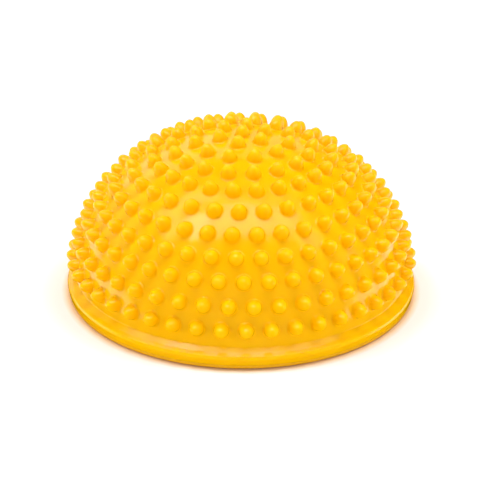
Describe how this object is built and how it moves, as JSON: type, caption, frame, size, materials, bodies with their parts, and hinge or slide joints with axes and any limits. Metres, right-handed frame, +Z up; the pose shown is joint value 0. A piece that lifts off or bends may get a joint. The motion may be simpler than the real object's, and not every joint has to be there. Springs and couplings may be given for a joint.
{
  "type": "balance dome trainer",
  "caption": "Air-filled half ball of soft PVC covered with blunt studs, on a flat base disc, to stand or press on for balance and foot exercises.",
  "frame": {"origin": "centre of the base, on the floor that the dome stands on", "axes": "+Z up through the crown, -Y the front as it is usually seen, +X to the right"},
  "size_m": [0.1602, 0.1602, 0.079],
  "materials": {
    "yellow_pvc": "glossy soft PVC",
    "yellow_pvc_base": "satin soft PVC",
    "yellow_pvc_valve": "satin soft PVC",
    "pale_pvc": "satin"
  },
  "bodies": {
    "dome": {"dome_shell": "yellow_pvc", "base_disc": "yellow_pvc_base", "valve_sleeve": "yellow_pvc_valve"},
    "stopper": {"valve_stopper": "pale_pvc"}
  },
  "joints": [
    {"name": "valve_stopper_pull", "type": "slide", "parent": "dome", "child": "stopper", "axis": [0, 0, -1], "range_m": [0, 0.014]}
  ]
}
